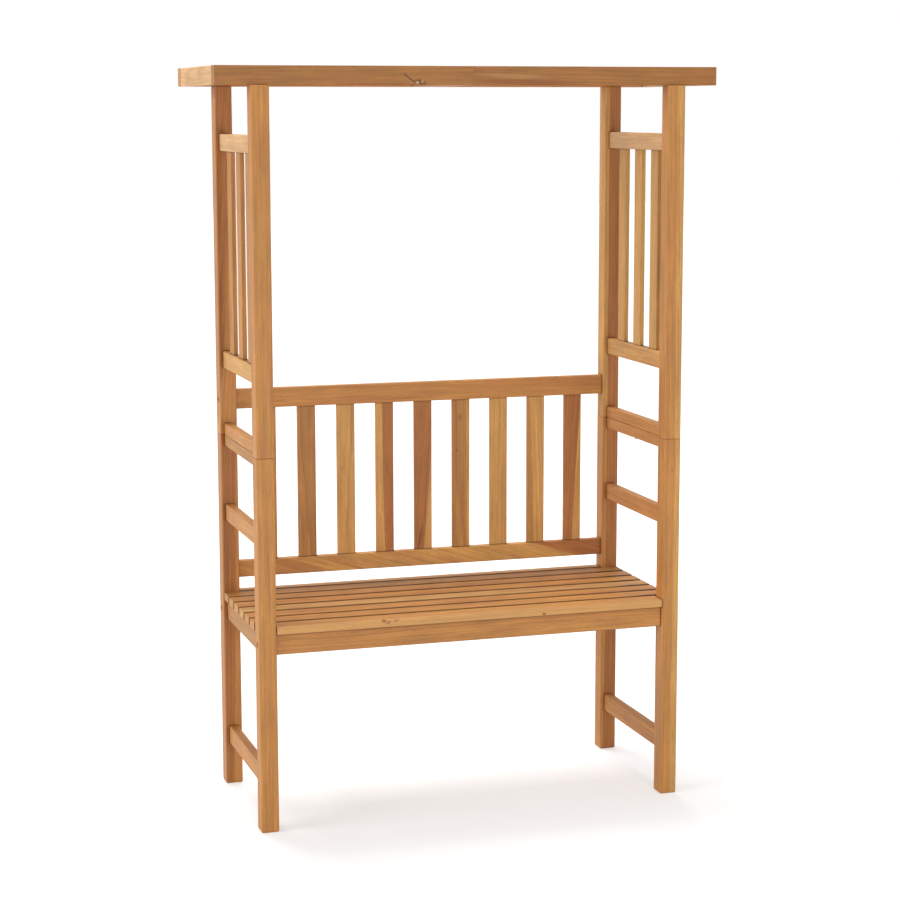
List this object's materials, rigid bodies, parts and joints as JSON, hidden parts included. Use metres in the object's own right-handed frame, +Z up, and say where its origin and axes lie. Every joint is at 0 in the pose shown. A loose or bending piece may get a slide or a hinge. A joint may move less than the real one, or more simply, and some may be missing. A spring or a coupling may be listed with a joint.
{
  "type": "arbour seat",
  "caption": "Slatted teak garden bench whose square posts carry open side panels and a flat pergola roof.",
  "frame": {"origin": "on the ground, under the middle of the four posts", "axes": "+X along the bench to the right of someone who faces it, +Y from the front to the back, +Z up"},
  "size_m": [1.124, 0.42, 1.65],
  "materials": {
    "teak": "oiled, fine planed",
    "zinc_plated_steel": "zinc plated"
  },
  "bodies": {
    "root": {"front_left_lower_post": "teak", "front_left_upper_post": "teak", "rear_left_lower_post": "teak", "rear_left_upper_post": "teak", "left_foot_stretcher": "teak", "left_seat_side_rail": "teak", "left_arm_rail": "teak", "left_lower_frame_top_rail": "teak", "left_upper_frame_bottom_rail": "teak", "left_panel_lower_rail": "teak", "left_panel_top_rail": "teak", "left_panel_slats": "teak", "left_roof_end_board": "teak", "left_roof_middle_board": "teak", "front_left_roof_beam": "teak", "rear_left_roof_beam": "teak", "front_right_lower_post": "teak", "front_right_upper_post": "teak", "rear_right_lower_post": "teak", "rear_right_upper_post": "teak", "right_foot_stretcher": "teak", "right_seat_side_rail": "teak", "right_arm_rail": "teak", "right_lower_frame_top_rail": "teak", "right_upper_frame_bottom_rail": "teak", "right_panel_lower_rail": "teak", "right_panel_top_rail": "teak", "right_panel_slats": "teak", "right_roof_end_board": "teak", "right_roof_middle_board": "teak", "front_right_roof_beam": "teak", "rear_right_roof_beam": "teak", "seat_front_rail": "teak", "seat_rear_rail": "teak", "seat_centre_bearer": "teak", "rear_seat_slat": "teak", "seat_slat_1": "teak", "seat_slat_2": "teak", "seat_slat_3": "teak", "seat_slat_4": "teak", "seat_slat_5": "teak", "seat_slat_6": "teak", "seat_slat_7": "teak", "back_bottom_rail": "teak", "back_top_rail": "teak", "back_slat_1": "teak", "back_slat_2": "teak", "back_slat_3": "teak", "back_slat_4": "teak", "back_slat_5": "teak", "back_slat_6": "teak", "back_slat_7": "teak", "back_slat_8": "teak", "back_slat_9": "teak", "roof_slats": "teak", "rail_bolts": "zinc_plated_steel", "barrel_nuts": "zinc_plated_steel", "joining_screws": "zinc_plated_steel"}
  },
  "joints": []
}
